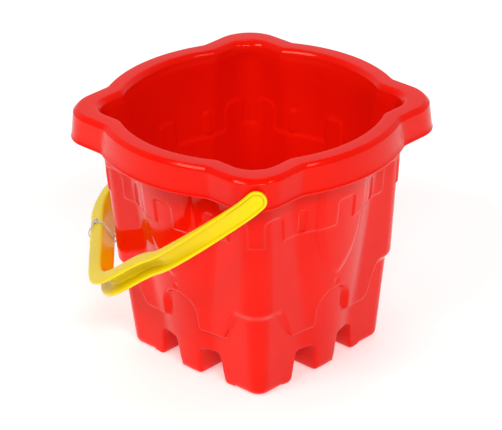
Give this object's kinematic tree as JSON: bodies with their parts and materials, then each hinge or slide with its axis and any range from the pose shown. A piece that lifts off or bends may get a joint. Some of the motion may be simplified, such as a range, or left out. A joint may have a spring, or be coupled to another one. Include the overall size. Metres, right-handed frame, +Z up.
{
  "type": "sand bucket",
  "caption": "Castle-mould sand bucket with square corner towers, hollow battlement feet, a turned-down skirt and a swinging channel-section bail handle.",
  "frame": {"origin": "centre of the bucket on the plane that its feet stand on", "axes": "+Z up; the corner towers point along +X, +Y, -X and -Y; the handle turns about Y and rests on the -X side"},
  "size_m": [0.2128, 0.2196, 0.157],
  "materials": {
    "red_plastic": "glossy injection-moulded polypropylene, slightly translucent",
    "yellow_plastic": "satin-gloss injection-moulded polypropylene",
    "clear_nylon": "clear drawn nylon"
  },
  "bodies": {
    "bucket": {"bucket": "red_plastic"},
    "handle": {"handle": "yellow_plastic", "tag_loop": "clear_nylon"}
  },
  "joints": [
    {"name": "handle_swing", "type": "hinge", "parent": "bucket", "child": "handle", "pos_m": [0, 0, 0.146], "axis": [0, 1, 0], "range_deg": [0, 263.6]}
  ]
}
